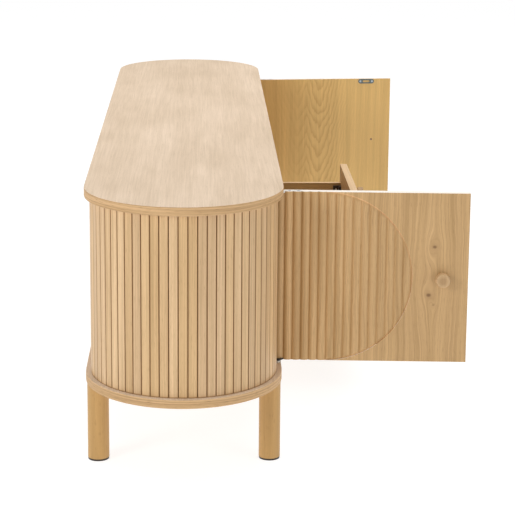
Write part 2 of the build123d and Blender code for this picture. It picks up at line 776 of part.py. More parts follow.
for side, sign in SIDES:
    with BuildPart() as door_leaves:
        for level in LEVELS:
            frame = door_frame(sign, level * (DOOR_H - LEAF_T) / 2)
            extrude(leaf_outline(frame, 0), amount=LEAF_T / 2, both=True)
            rod(frame, PIVOT_PIN_R + PIVOT_CLEARANCE, -LEAF_T, LEAF_T, Mode.SUBTRACT)
            for plane in leaf_screw_planes(sign, level, on_door=True):
                screw_hole(plane, LEAF_SCREW_LENGTH)
    save(door_leaves.part, f"{side}_door_hinge_leaves")

    with BuildPart() as door_screws:
        for level in LEVELS:
            for plane in leaf_screw_planes(sign, level, on_door=True):
                screw(plane, LEAF_SCREW_LENGTH)
        for plane in strike_screw_planes(sign):
            screw(plane, STRIKE_SCREW_LENGTH)
    save(door_screws.part, f"{side}_door_screws")

with BuildPart() as case_leaves:
    for _, sign in SIDES:
        for level in LEVELS:
            frame = hinge_frame(sign, 0, level * (INNER_H + LEAF_T) / 2)
            extrude(leaf_outline(frame, 0), amount=LEAF_T / 2, both=True)
            for plane in leaf_screw_planes(sign, level, on_door=False):
                screw_hole(plane, LEAF_SCREW_LENGTH)
            seat = facing((sign * PIVOT_X, -PIVOT_PROUD, MID_Z + level * INNER_H / 2), (0, 0, -level))
            rod(seat, PIVOT_PIN_R, -LEAF_T, DOOR_END_GAP + LEAF_T)
save(case_leaves.part, "case_hinge_leaves")

with BuildPart() as hinge_washers:
    for _, sign in SIDES:
        seat = facing((sign * PIVOT_X, -PIVOT_PROUD, INNER_Z0), (0, 0, 1))
        rod(seat, WASHER_R, 0, DOOR_END_GAP - WASHER_CLEARANCE)
        rod(seat, PIVOT_PIN_R + PIVOT_CLEARANCE, 0, DOOR_END_GAP, Mode.SUBTRACT)
save(hinge_washers.part, "hinge_washers")

# Magnetic catches

with BuildPart() as catch_housings:
    for _, sign in SIDES:
        x, y, z = catch_center(sign)
        depth = (y, y + CATCH_DEPTH)
        block((x - STRIKE_L / 2, x + STRIKE_L / 2), depth, (INNER_Z1 - CATCH_H, INNER_Z1))
        magnet = (y, y + MAGNET_DEPTH)
        block(
            (x - MAGNET_L / 2, x + MAGNET_L / 2), magnet, (z - MAGNET_H / 2, z + MAGNET_H / 2), Mode.SUBTRACT
        )
        for plane in catch_screw_planes(sign):
            screw_hole(plane, CATCH_SCREW_LENGTH)
save(catch_housings.part, "catch_housings")

with BuildPart() as catch_magnets:
    for _, sign in SIDES:
        x, y, z = catch_center(sign)
        half_l = MAGNET_L / 2 - FIT
        half_h = MAGNET_H / 2 - FIT
        block((x - half_l, x + half_l), (y, y + MAGNET_DEPTH - FIT), (z - half_h, z + half_h))
save(catch_magnets.part, "catch_magnets")

# Drawer box

with BuildPart() as drawer_front:
    block((-FRONT_HALF_W, FRONT_HALF_W), (DRAWER_Y0, BOX_Y0), (FRONT_Z0, NICHE_FLOOR_Z))
    groove_half = SIDE_X0 + GROOVE_DEPTH
    groove_z = (DRAWER_BOTTOM_Z0 - FIT, DRAWER_BOTTOM_Z1 + FIT)
    block((-groove_half, groove_half), (BOX_Y0 - GROOVE_DEPTH, BOX_Y0), groove_z, Mode.SUBTRACT)
    for point in drawer_knob_points():
        x, y, z = point
        screw_hole(facing((x, y + DOOR_T, z), (0, 1, 0)), DOOR_T + KNOB_SCREW_IN)
    for _, sign in SIDES:
        for plane in drawer_dowel_planes(sign):
            dowel_hole(plane, DRAWER_DOWEL_R, DRAWER_DOWEL_IN_FRONT)
        for plane in block_screw_planes(sign):
            screw_hole(plane, BLOCK_SCREW_LENGTH)
save(drawer_front.part, "drawer_front")

for side, sign in SIDES:
    with BuildPart() as drawer_side:
        block(mirrored(sign, SIDE_X0, SIDE_X1), (BOX_Y0, BOX_Y1), (SIDE_Z0, SIDE_Z1))
        groove_z = (DRAWER_BOTTOM_Z0 - FIT, DRAWER_BOTTOM_Z1 + FIT)
        block(mirrored(sign, SIDE_X0, SIDE_X0 + GROOVE_DEPTH), (BOX_Y0, BOX_Y1), groove_z, Mode.SUBTRACT)
        for plane in drawer_dowel_planes(sign):
            rod(plane, DRAWER_DOWEL_R + FIT, 0, DRAWER_DOWEL_IN_SIDE + TIP_GAP, Mode.SUBTRACT)
        for plane in drawer_back_screw_planes(sign):
            screw_hole(plane, DRAWER_BACK_SCREW_LENGTH)
        for plane in drawer_runner_screw_planes(sign):
            screw_hole(plane, RUNNER_SCREW_LENGTH)
        for plane in block_screw_planes(sign):
            screw_hole(plane, BLOCK_SCREW_LENGTH)
    save(drawer_side.part, f"drawer_{side}_side")

with BuildPart() as drawer_back:
    depth = (BOX_Y1 - DRAWER_SIDE_T, BOX_Y1)
    block((-SIDE_X0, SIDE_X0), depth, (DRAWER_BOTTOM_Z1, SIDE_Z1))
    for _, sign in SIDES:
        for plane in drawer_back_screw_planes(sign):
            screw_hole(plane, DRAWER_BACK_SCREW_LENGTH)
save(drawer_back.part, "drawer_back")

with BuildPart() as drawer_bottom:
    half = SIDE_X0 + GROOVE_DEPTH - FIT
    depth = (BOX_Y0 - GROOVE_DEPTH + FIT, BOX_Y1)
    block((-half, half), depth, (DRAWER_BOTTOM_Z0, DRAWER_BOTTOM_Z1))
save(drawer_bottom.part, "drawer_bottom")

with BuildPart() as drawer_dowels:
    for _, sign in SIDES:
        for plane in drawer_dowel_planes(sign):
            rod(plane, DRAWER_DOWEL_R, -DRAWER_DOWEL_IN_FRONT, DRAWER_DOWEL_IN_SIDE)
save(drawer_dowels.part, "drawer_dowels")

with BuildPart() as drawer_knobs:
    for point in drawer_knob_points():
        add_knob(facing(point, (0, -1, 0)))
save(drawer_knobs.part, "drawer_knobs")

with BuildPart() as drawer_knob_screws:
    for x, y, z in drawer_knob_points():
        screw(facing((x, y + DOOR_T, z), (0, 1, 0)), DOOR_T + KNOB_SCREW_IN)
save(drawer_knob_screws.part, "drawer_knob_screws")

with BuildPart() as corner_blocks:
    for _, sign in SIDES:
        z_span = (SIDE_Z1 - BLOCK_DROP - BLOCK_H, SIDE_Z1 - BLOCK_DROP)
        block(mirrored(sign, SIDE_X0 - BLOCK_T, SIDE_X0), (BOX_Y0, BOX_Y0 + BLOCK_LEG), z_span)
        block(mirrored(sign, SIDE_X0 - BLOCK_LEG, SIDE_X0), (BOX_Y0, BOX_Y0 + BLOCK_T), z_span)
        for plane in block_screw_planes(sign):
            screw_hole(plane, BLOCK_SCREW_LENGTH)
save(corner_blocks.part, "drawer_corner_blocks")

# Drawer runners


def channel(sign, web_x, depth, height, metal, y_start, length):
    """Add a C-section runner: its web's outer face at web_x, its flanges reaching by depth."""
    z0 = RUNNER_Z - height / 2
    z1 = RUNNER_Z + height / 2
    inner = math.copysign(metal, depth)
    y_span = (y_start, y_start + length)
    block(mirrored(sign, web_x, web_x + depth), y_span, (z0, z1))
    block(mirrored(sign, web_x + inner, web_x + depth), y_span, (z0 + metal, z1 - metal), Mode.SUBTRACT)


SLIDE_H = RUNNER_H - 2 * RUNNER_METAL - 2 * RUNNER_PLAY
DRAWER_RUNNER_H = SLIDE_H - 2 * SLIDE_METAL - 2 * RUNNER_PLAY
SLIDE_Y0 = RUNNER_Y0 + (RUNNER_L - SLIDE_L) / 2 - DRAWER_PULLED / 2

with BuildPart() as case_runners:
    for _, sign in SIDES:
        channel(sign, INNER_PARTITION_X0, -RUNNER_DEPTH, RUNNER_H, RUNNER_METAL, RUNNER_Y0, RUNNER_L)
        for plane in case_runner_screw_planes(sign):
            screw_hole(plane, RUNNER_SCREW_LENGTH)
save(case_runners.part, "case_runners")

for side, sign in SIDES:
    with BuildPart() as runner_slide:
        web_x = INNER_PARTITION_X0 - SLIDE_STANDOFF
        channel(sign, web_x, -SLIDE_DEPTH, SLIDE_H, SLIDE_METAL, SLIDE_Y0, SLIDE_L)
    save(runner_slide.part, f"{side}_runner_slide")

with BuildPart() as drawer_runners:
    for _, sign in SIDES:
        y_start = RUNNER_Y0 - DRAWER_PULLED
        depth = DRAWER_RUNNER_DEPTH
        channel(sign, SIDE_X1, depth, DRAWER_RUNNER_H, RUNNER_METAL, y_start, RUNNER_L)
        for plane in drawer_runner_screw_planes(sign):
            screw_hole(plane, RUNNER_SCREW_LENGTH)
save(drawer_runners.part, "drawer_runners")

# Screws of the case and the drawer

with BuildPart() as case_screws:
    for _, sign in SIDES:
        for level in LEVELS:
            for plane in leaf_screw_planes(sign, level, on_door=False):
                screw(plane, LEAF_SCREW_LENGTH)
        for plane in catch_screw_planes(sign):
            screw(plane, CATCH_SCREW_LENGTH)
        for plane in case_runner_screw_planes(sign):
            screw(plane, RUNNER_SCREW_LENGTH)
save(case_screws.part, "case_screws")

with BuildPart() as drawer_screws:
    for _, sign in SIDES:
        for plane in drawer_back_screw_planes(sign):
            screw(plane, DRAWER_BACK_SCREW_LENGTH)
        for plane in block_screw_planes(sign):
            screw(plane, BLOCK_SCREW_LENGTH)
        for plane in drawer_runner_screw_planes(sign):
            screw(plane, RUNNER_SCREW_LENGTH)
save(drawer_screws.part, "drawer_screws")
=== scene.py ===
"""Looks for the media cabinet: procedural oak, metal and plastic, a floor, soft light and the camera.

Metres, in the row's own frame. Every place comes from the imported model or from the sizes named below.
"""
import json
import math

import bpy
from mathutils import Matrix, Vector


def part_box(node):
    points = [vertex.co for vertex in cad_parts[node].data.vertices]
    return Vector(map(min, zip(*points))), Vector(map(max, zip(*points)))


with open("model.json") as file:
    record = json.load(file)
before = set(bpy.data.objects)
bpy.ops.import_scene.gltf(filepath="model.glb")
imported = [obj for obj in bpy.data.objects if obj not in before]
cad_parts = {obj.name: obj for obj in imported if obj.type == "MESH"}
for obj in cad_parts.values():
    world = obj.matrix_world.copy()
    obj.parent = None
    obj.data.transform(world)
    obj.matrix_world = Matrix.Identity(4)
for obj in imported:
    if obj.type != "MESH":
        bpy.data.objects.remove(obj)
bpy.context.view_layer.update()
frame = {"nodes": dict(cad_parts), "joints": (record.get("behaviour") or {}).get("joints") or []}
joints = {joint["name"]: joint for joint in frame["joints"]}

# Sizes of the cabinet that the materials follow
SLAT_COUNT = 35
slat_low, slat_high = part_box("left_end_slats")
door_low, door_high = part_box("left_door")
body_radius = (slat_high.y - slat_low.y) / 2
middle_y = (slat_high.y + slat_low.y) / 2
end_x = -slat_low.x - body_radius
straight = slat_high.x + end_x
slat_pitch = (math.pi * body_radius + 2 * straight) / SLAT_COUNT

# The camera's place and aim, in metres and radians, and its focal length in pixels
CAMERA_AT = (-4.2186, 0.1550, 1.3121)
CAMERA_YAW = -0.03309
CAMERA_PITCH = 0.20056
CAMERA_ROLL = 0.00776
CAMERA_FOCUS = 1743.86
CAMERA_SHIFT = -0.18
IMAGE_WIDTH = 515
SENSOR_WIDTH = 36


class Graph:
    """A material's node tree, with short calls for the nodes that the finishes use."""

    def __init__(self, name, roughness, metallic=0.0):
        self.material = bpy.data.materials.new(name)
        self.material.use_nodes = True
        self.tree = self.material.node_tree
        self.shader = self.tree.nodes["Principled BSDF"]
        self.shader.inputs["Roughness"].default_value = roughness
        self.shader.inputs["Metallic"].default_value = metallic
        coordinates = self.tree.nodes.new("ShaderNodeTexCoord")
        self.point = coordinates.outputs["Object"]
        self.normal = coordinates.outputs["Normal"]

    def set(self, socket, value):
        """Link a socket into another one, or give that one a fixed value."""
        if isinstance(value, bpy.types.NodeSocket):
            self.tree.links.new(value, socket)
        else:
            socket.default_value = value

    def math(self, operation, *values):
        node = self.tree.nodes.new("ShaderNodeMath")
        node.operation = operation
        for index, value in enumerate(values):
            self.set(node.inputs[index], value)
        return node.outputs[0]

    def add(self, first, second):
        return self.math("ADD", first, second)

    def sub(self, first, second):
        return self.math("SUBTRACT", first, second)

    def mul(self, first, second):
        return self.math("MULTIPLY", first, second)

    def div(self, first, second):
        return self.math("DIVIDE", first, second)

    def power(self, value, exponent):
        return self.math("POWER", value, exponent)

    def absolute(self, value):
        return self.math("ABSOLUTE", value)

    def above(self, value, limit):
        return self.math("GREATER_THAN", value, limit)

    def below(self, value, limit):
        return self.math("LESS_THAN", value, limit)

    def squares(self, first, second):
        """The sum of two squares."""
        return self.add(self.power(first, 2.0), self.power(second, 2.0))

    def decay(self, value, rate=1.0):
        """1 at a value of 0, falling off exponentially."""
        return self.math("EXPONENT", self.mul(value, -rate))

    def split(self, vector):
        node = self.tree.nodes.new("ShaderNodeSeparateXYZ")
        self.set(node.inputs[0], vector)
        return node.outputs[0], node.outputs[1], node.outputs[2]

    def join(self, x, y, z):
        node = self.tree.nodes.new("ShaderNodeCombineXYZ")
        for index, value in enumerate((x, y, z)):
            self.set(node.inputs[index], value)
        return node.outputs[0]

    def scaled(self, vector, factors):
        node = self.tree.nodes.new("ShaderNodeVectorMath")
        node.operation = "MULTIPLY"
        self.set(node.inputs[0], vector)
        node.inputs[1].default_value = factors
        return node.outputs[0]

    def dot(self, vector, direction):
        node = self.tree.nodes.new("ShaderNodeVectorMath")
        node.operation = "DOT_PRODUCT"
        self.set(node.inputs[0], vector)
        node.inputs[1].default_value = direction
        return node.outputs["Value"]

    def noise(self, vector, detail=2.0, roughness=0.5):
        node = self.tree.nodes.new("ShaderNodeTexNoise")
        self.set(node.inputs["Vector"], vector)
        node.inputs["Scale"].default_value = 1.0
        node.inputs["Detail"].default_value = detail
        node.inputs["Roughness"].default_value = roughness
        return node.outputs["Fac"]

    def streaks(self, first, second, third, scales, detail=2.0, roughness=0.5):
        """Noise with its own scale along each of two coordinates, in features per metre.

        The third coordinate isn't scaled: it sets one surface's noise apart from another's.
        """
        scaled = self.join(self.mul(first, scales[0]), self.mul(second, scales[1]), third)
        return self.noise(scaled, detail, roughness)

    def specks(self, scales, detail=2.0):
        """Noise over the object's own coordinates."""
        return self.noise(self.scaled(self.point, scales), detail)

    def white(self, value):
        """A random number that is the same wherever the value is."""
        node = self.tree.nodes.new("ShaderNodeTexWhiteNoise")
        node.noise_dimensions = "1D"
        self.set(node.inputs["W"], value)
        return node.outputs["Value"]

    def span(self, value, low, high, to_low=0.0, to_high=1.0):
        """Map a value from one range to another, held at the ends."""
        node = self.tree.nodes.new("ShaderNodeMapRange")
        for index, item in enumerate((value, low, high, to_low, to_high)):
            self.set(node.inputs[index], item)
        return node.outputs[0]

    def mix(self, factor, first, second, blend="MIX"):
        node = self.tree.nodes.new("ShaderNodeMix")
        node.data_type = "RGBA"
        node.blend_type = blend
        self.set(node.inputs["Factor"], factor)
        for name, value in (("A", first), ("B", second)):
            socket = [item for item in node.inputs if item.name == name and item.type == "RGBA"][0]
            self.set(socket, value)
        return [item for item in node.outputs if item.type == "RGBA"][0]

    def tinted(self, color, red, green, blue):
        """A colour with each of its parts multiplied."""
        return self.mix(1.0, color, self.join(red, green, blue), "MULTIPLY")

    def finish(self, color, height, depth=0.0001, strength=0.3):
        """Give the surface its colour and its bump, and return the material."""
        self.set(self.shader.inputs["Base Color"], color)
        node = self.tree.nodes.new("ShaderNodeBump")
        self.set(node.inputs["Height"], height)
        node.inputs["Distance"].default_value = depth
        node.inputs["Strength"].default_value = strength
        self.tree.links.new(node.outputs[0], self.shader.inputs["Normal"])
        return self.material


def srgb(red, green, blue):
    """A colour named by its screen values from 0 to 255, as the linear colour that the nodes use."""
    linear = []
    for value in (red, green, blue):
        share = value / 255
        linear.append(share / 12.92 if share <= 0.04045 else ((share + 0.055) / 1.055) ** 2.4)
    return (*linear, 1.0)


def times(color, factor):
    """A colour made lighter or darker."""
    return (color[0] * factor, color[1] * factor, color[2] * factor, 1.0)


# Oak grain: each layer's scales along and across it, in features per metre, the range of its noise
# that counts, and how far it changes the tone. Green and blue follow the tone by a power.
WANDER_SCALES = (2.2, 9.0)
WANDER = 0.012
BAND_SCALES = (1.1, 42.0)
CLOUD_SCALES = (4.0, 10.0)
PORE_SCALES = (55.0, 1100.0)
PORE_RANGE = (0.6, 0.78)
STREAK_RANGE = (0.32, 0.68)
CLOUD_RANGE = (0.3, 0.7)
LINE_DARKER = 0.09
LINE_PALER = 0.075
PORE_DARKER = 0.16
GREEN_POWER = 1.15
BLUE_POWER = 1.45

# A face counts as level when its normal's upright part is above this
FACING = 0.7


def grain(graph, along, across, depth, base, contrast=1.0, blotch=0.04, warp=0.0, fine=210.0,
          band=0.075, dash=3.0):
    """Oak on a face: growth lines, pores and soft clouding.

    along and across lie on the face, and depth tells faces apart. fine and dash are the growth lines'
    scales across and along the grain. The colour and the height for the bump are returned.
    """
    wander = graph.streaks(along, across, depth, WANDER_SCALES)
    across = graph.add(across, graph.mul(wander, WANDER + warp))
    lines = graph.streaks(along, across, depth, (dash, fine), 3.0, 0.6)
    bands = graph.streaks(along, across, depth, BAND_SCALES)
    clouds = graph.streaks(along, across, depth, CLOUD_SCALES)
    pores = graph.span(graph.streaks(along, across, depth, PORE_SCALES, 1.0), *PORE_RANGE)
    darker, paler = 1.0 - LINE_DARKER * contrast, 1.0 + LINE_PALER * contrast
    tone = graph.span(lines, *STREAK_RANGE, darker, paler)
    darker, paler = 1.0 - band * contrast, 1.0 + band * contrast
    tone = graph.mul(tone, graph.span(bands, *STREAK_RANGE, darker, paler))
    tone = graph.mul(tone, graph.span(clouds, *CLOUD_RANGE, 1.0 - blotch, 1.0 + blotch))
    tone = graph.mul(tone, graph.span(pores, 0.0, 1.0, 1.0, 1.0 - PORE_DARKER * contrast))
    color = graph.tinted(base, tone, graph.power(tone, GREEN_POWER), graph.power(tone, BLUE_POWER))
    return color, graph.sub(lines, pores)


def run_around(graph):
    """The way round the cabinet's outline from an end's middle, and the end's side, -1 or 1."""
    x, y, _ = graph.split(graph.point)
    past = graph.sub(graph.absolute(x), end_x)
    offset = graph.sub(y, middle_y)
    turn = graph.math("ARCTAN2", offset, graph.math("MAXIMUM", past, 0.0))
    inward = graph.math("MAXIMUM", graph.mul(past, -1.0), 0.0)
    beyond = graph.mul(graph.math("SIGN", offset), inward)
    return graph.add(graph.mul(turn, body_radius), beyond), graph.math("SIGN", x)


def oak_board():
    """The top and bottom boards: pale straight veneer along the cabinet, and a darker rim."""
    graph = Graph("oak board", 0.6)
    graph.shader.inputs["Specular IOR Level"].default_value = 0.3
    x, y, z = graph.split(graph.point)
    _, _, up = graph.split(graph.normal)
    run, side = run_around(graph)
    face, height = grain(graph, x, y, z, srgb(219, 196, 170), contrast=0.85, blotch=0.06,
                         fine=340.0, band=0.035, dash=7.0)
    rim, _ = grain(graph, run, z, side, srgb(201, 164, 119), contrast=3.0, blotch=0.03,
                   fine=420.0, band=0.04)
    flat = graph.above(graph.absolute(up), FACING)
    return graph.finish(graph.mix(flat, rim, face), height, strength=0.25)


# Slats: the seeds that set them apart, and the largest share of pink in one
SIDE_SEED = 57.0
PINK_SEED = 0.5
GRAIN_SEED = 3.7
PINK = 0.4

# A slat's painted shade lines: where they begin and end from its edge or above its foot, and their
# strength
EASED_FROM = 0.0022
EASED_TO = 0.001
EASED_PAINTED_SHADE = 0.64
FOOT_FROM = 0.0005
FOOT_TO = 0.003
FOOT_PAINTED_SHADE = 0.8


def oak_slat():
    """The slatted ends: each slat is its own strip of oak, lighter or darker than the next."""
    graph = Graph("oak slat", 0.5)
    _, _, z = graph.split(graph.point)
    run, side = run_around(graph)
    index = graph.math("ROUND", graph.div(run, slat_pitch))
    seed = graph.add(index, graph.mul(side, SIDE_SEED))
    base = graph.mix(graph.white(seed), srgb(206, 169, 119), srgb(220, 184, 136))
    pink = graph.mul(graph.white(graph.add(seed, PINK_SEED)), PINK)
    base = graph.mix(pink, base, srgb(208, 178, 146))
    color, height = grain(graph, z, run, graph.mul(seed, GRAIN_SEED), base, contrast=1.6,
                          blotch=0.05, fine=330.0, band=0.05)
    # Painted shade: each slat darkens towards its edges, standing in for the shade in the gaps between
    # slats, and just above its foot
    from_middle = graph.absolute(graph.sub(run, graph.mul(index, slat_pitch)))
    half = slat_pitch / 2
    gap_shade = graph.span(from_middle, half - EASED_FROM, half - EASED_TO, 0.0, EASED_PAINTED_SHADE)
    foot = graph.span(z, slat_low.z + FOOT_FROM, slat_low.z + FOOT_TO, FOOT_PAINTED_SHADE, 0.0)
    color = graph.mix(graph.math("MAXIMUM", gap_shade, foot), color, srgb(134, 86, 26))
    return graph.finish(color, height)


# Plain oak: how much the second coordinate slants the lines, and how fast they change through the
# wood there and in a leg
SLANT = 0.71
THROUGH = 9.0
LEG_THROUGH = 60.0


def plain_oak(name, base, axis, contrast=1.0, top=None):
    """Solid oak, with the grain along one axis: 0, 1 or 2. The upward faces may be painted paler, as a
    painted highlight.
    """
    graph = Graph(name, 0.5)
    parts = graph.split(graph.point)
    rest = [parts[index] for index in range(3) if index != axis]
    across = graph.add(rest[0], graph.mul(rest[1], SLANT))
    if top:
        _, _, up = graph.split(graph.normal)
        base = graph.mix(graph.above(up, FACING), base, top)
    color, height = grain(graph, parts[axis], across, graph.mul(rest[1], THROUGH), base, contrast)
    return graph.finish(color, height)


def oak_leg():
    """A turned leg: fine upright grain that differs round the leg."""
    graph = Graph("oak leg", 0.45)
    x, y, z = graph.split(graph.point)
    color, height = grain(graph, z, x, graph.mul(y, LEG_THROUGH), srgb(193, 151, 90), contrast=0.9,
                          blotch=0.05)
    return graph.finish(color, height)


def door_axes(graph, joint_name, side):
    """A door's own coordinates: from its pivot along the door, through it, and up from its middle.

    The door's own direction comes last.
    """
    joint = joints[joint_name]
    turn = math.radians(joint["range_deg"][1])
    along = Vector((-side * math.cos(turn), -math.sin(turn), 0))
    through = Vector((-side * math.sin(turn), math.cos(turn), 0))
    pivot = Vector(joint["pos_m"])
    _, _, z = graph.split(graph.point)
    u = graph.sub(graph.dot(graph.point, along), pivot.dot(along))
    v = graph.sub(graph.dot(graph.point, through), pivot.dot(through))
    w = graph.sub(z, pivot.z)
    return u, v, w, along


# From a door's pivot: its top, its outer face, and the depth behind which a surface is its inner face
DOOR_TOP = 0.18
DOOR_FACE = 0.005
DOOR_INSIDE = 0.0225

# Each knot's place along and up the door, its size and its depth of colour
KNOTS = (
    (0.318, 0.066, 0.0040, 0.62),
    (0.308, -0.036, 0.0046, 0.66),
    (0.318, -0.057, 0.0022, 0.35),
)

# A knot's pull on the grain, with its reach in the knot's own sizes, the knot's height for its width,
# the faint dark ring round it, and the darkest that any place gets
KNOT_REACH_U = 4.0
KNOT_REACH_W = 8.0
KNOT_PULL = 0.75
KNOT_FLAT = 0.8
RING_RATE = 0.2
RING_DARK = 0.3
KNOT_DARKEST = 0.85

# The swell of grain round the knots: its place, its width and height, and its strength
SWELL_U = 0.318
SWELL_W = 0.012
SWELL_WIDE = 0.045
SWELL_TALL = 0.13
SWELL_PULL = 0.45

# The outside's lazy sway and broad figure, and the painted light that makes it paler near the hinge
SWAY_SCALES = (14.0, 11.0)
SWAY_SEED = 4.1
SWAY = 0.012
FIGURE_SCALES = (130.0, 2.6)
FIGURE_SEED = 6.1
FIGURE_RANGE = (0.35, 0.65)
OUTSIDE_SEED = 3.1
HINGE_PAINTED_LIGHT_RANGE = (0.06, 0.26)
HINGE_PAINTED_LIGHT = 1.2

# Painted shade in the reeds' hollows: their depths, and the shade's strength near the hinge and far
# from it
HOLLOW_RANGE = (DOOR_FACE + 0.0008, DOOR_FACE + 0.0032)
HOLLOW_SHADE_RANGE = (0.07, 0.18)
HOLLOW_SHADE_NEAR = 0.5
HOLLOW_SHADE_FAR = 0.08

# The reeded field's half-round edge: its middle and radius, and the width and strength of the painted
# highlight along its foot, which grows from the door's mid-height upwards
FIELD_MIDDLE = 0.0955
FIELD_RADIUS = (door_high.z - door_low.z) / 2
EDGE_FROM = 0.0035
EDGE_TO = 0.001
EDGE_PAST = 0.0005
EDGE_RISE = 0.15
EDGE_HIGHLIGHT_LOW = 0.24
EDGE_HIGHLIGHT_HIGH = 0.4
EDGE_GREEN_POWER = 1.1
EDGE_BLUE_POWER = 1.6

# The inside's figure: the place along the door and the delay of each set of arches, then the arches'
# half width, rise, curve, spacing and strength, and where in the spacing a line starts and is darkest
ARCHES = ((0.178, 0.0), (0.119, 0.03))
ARCH_HALF = 0.025
ARCH_RISE = 0.052
ARCH_POINT = 1.45
ARCH_GAP = 0.041
ARCH_LINE = 0.6
LINE_FROM = 0.35
LINE_AT = 0.85

# The unevenness of the arches: scales along and up the door, seeds and strengths
WOBBLE_SCALES = (24.0, 13.0)
WOBBLE_SEED = 2.3
WOBBLE = 0.075
RAGGED_SCALES = (130.0, 30.0)
RAGGED_SEED = 5.3
RAGGED = 0.022
BEND_SCALES = (9.0, 16.0)
BEND_SEED = 8.9
BEND = 0.016

# Where the arches fade, from the middle of the first set, and where the hinge side is darker with
# painted shade
FADE_OUTER = (0.04, 0.09)
FADE_OUTER_TO = 0.2
FADE_INNER = (-0.065, -0.02)
FADE_INNER_TO = 0.3
HINGE_SHADE_RANGE = (0.05, 0.16)
INSIDE_SHIFT = 0.5
INSIDE_SEED = 7.7

# A surface of a door counts as its edge when its normal lies in the door's plane by more than this
EDGE_FACING = 0.8


def past_knots(graph, u, w):
    """The way across the door's grain, which flows round the knots, and how dark the knots are."""
    across = u
    dark = 0.0
    for place_u, place_w, size, depth in KNOTS:
        du = graph.sub(u, place_u)
        dw = graph.sub(w, place_w)
        pull = graph.decay(graph.squares(graph.div(du, size * KNOT_REACH_U),
                                         graph.div(dw, size * KNOT_REACH_W)))
        across = graph.sub(across, graph.mul(graph.mul(du, pull), KNOT_PULL))
        eye = graph.squares(graph.div(du, size), graph.div(dw, size * KNOT_FLAT))
        core = graph.mul(graph.decay(graph.power(eye, 2.0)), depth)
        ring = graph.mul(graph.decay(eye, RING_RATE), depth * RING_DARK)
        dark = graph.add(dark, graph.add(core, ring))
    du = graph.sub(u, SWELL_U)
    swell = graph.decay(graph.squares(graph.div(du, SWELL_WIDE),
                                      graph.div(graph.sub(w, SWELL_W), SWELL_TALL)))
    return graph.sub(across, graph.mul(graph.mul(du, swell), SWELL_PULL)), dark


def door_outside(graph, u, v, w, side):
    """A door's outer face: grain round its knots, painted shade in the reeds' hollows and a painted
    highlight along the field's edge.
    """
    across, dark = past_knots(graph, u, w)
    sway = graph.streaks(u, w, side * SWAY_SEED, SWAY_SCALES)
    across = graph.add(across, graph.mul(sway, SWAY))
    figure = graph.streaks(across, w, side * FIGURE_SEED, FIGURE_SCALES)
    base = graph.mix(graph.span(figure, *FIGURE_RANGE), srgb(183, 147, 98), srgb(196, 159, 110))
    # Painted light: the outer face is paler near the hinge, lifting the shade that the cabinet casts
    # there
    paler = graph.span(u, *HINGE_PAINTED_LIGHT_RANGE, HINGE_PAINTED_LIGHT, 1.0)
    base = graph.tinted(base, paler, paler, paler)
    color, height = grain(graph, w, across, side * OUTSIDE_SEED, base, contrast=1.6, blotch=0.05,
                          warp=0.006, fine=430.0, band=0.05)
    # Painted shade: the reeds' hollows are darkened, most near the hinge
    hollow_shade = graph.mul(graph.span(v, *HOLLOW_RANGE),
                       graph.span(u, *HOLLOW_SHADE_RANGE, HOLLOW_SHADE_NEAR, HOLLOW_SHADE_FAR))
    color = graph.mix(hollow_shade, color, srgb(150, 106, 50))
    color = graph.mix(graph.math("MINIMUM", dark, KNOT_DARKEST), color, srgb(112, 76, 42))
    # Painted highlight: paler along the foot of the field's half-round edge, most towards the top
    reach = graph.math("SQRT", graph.squares(graph.sub(u, FIELD_MIDDLE), w))
    foot = graph.mul(graph.span(reach, FIELD_RADIUS - EDGE_FROM, FIELD_RADIUS - EDGE_TO),
                     graph.below(reach, FIELD_RADIUS + EDGE_PAST))
    foot = graph.mul(foot, graph.above(u, FIELD_MIDDLE))
    pale = graph.mul(foot, graph.span(w, 0.0, EDGE_RISE, EDGE_HIGHLIGHT_LOW, EDGE_HIGHLIGHT_HIGH))
    paler = graph.add(pale, 1.0)
    color = graph.tinted(color, paler, graph.power(paler, EDGE_GREEN_POWER),
                         graph.power(paler, EDGE_BLUE_POWER))
    return color, height


def door_inside(graph, u, w, side):
    """A door's inner face: a flat-sawn figure of nested arches, uneven and fading to both sides."""
    wobble = graph.mul(graph.streaks(u, w, side * WOBBLE_SEED, WOBBLE_SCALES, 3.0), WOBBLE)
    ragged = graph.mul(graph.streaks(u, w, side * RAGGED_SEED, RAGGED_SCALES), RAGGED)
    bend = graph.sub(graph.streaks(u, w, side * BEND_SEED, BEND_SCALES), 0.5)
    bent_u = graph.add(u, graph.mul(bend, BEND))
    rings = []
    for middle, late in ARCHES:
        beside = graph.absolute(graph.sub(bent_u, middle))
        climb = graph.power(graph.div(beside, ARCH_HALF), ARCH_POINT)
        rings.append(graph.add(graph.mul(climb, ARCH_RISE), late))
    ring = graph.add(graph.math("MINIMUM", *rings), graph.sub(DOOR_TOP, w))
    ring = graph.add(ring, graph.add(wobble, ragged))
    wave = graph.math("FRACT", graph.div(ring, ARCH_GAP))
    line = graph.mul(graph.span(wave, LINE_FROM, LINE_AT), graph.span(wave, LINE_AT, 1.0, 1.0, 0.0))
    offset = graph.sub(u, ARCHES[0][0])
    fade = graph.mul(graph.span(offset, *FADE_OUTER, 1.0, FADE_OUTER_TO),
                     graph.span(offset, *FADE_INNER, FADE_INNER_TO, 1.0))
    # Painted shade: the inner face is darker towards the hinge
    hinge_shade = graph.span(u, *HINGE_SHADE_RANGE, 1.0, 0.0)
    base = graph.mix(hinge_shade, srgb(215, 175, 106), srgb(208, 162, 91))
    base = graph.mix(graph.mul(graph.mul(line, fade), ARCH_LINE), base, srgb(188, 142, 78))
    color, _ = grain(graph, w, graph.add(u, INSIDE_SHIFT), side * INSIDE_SEED, base, contrast=0.8,
                     blotch=0.035)
    return color


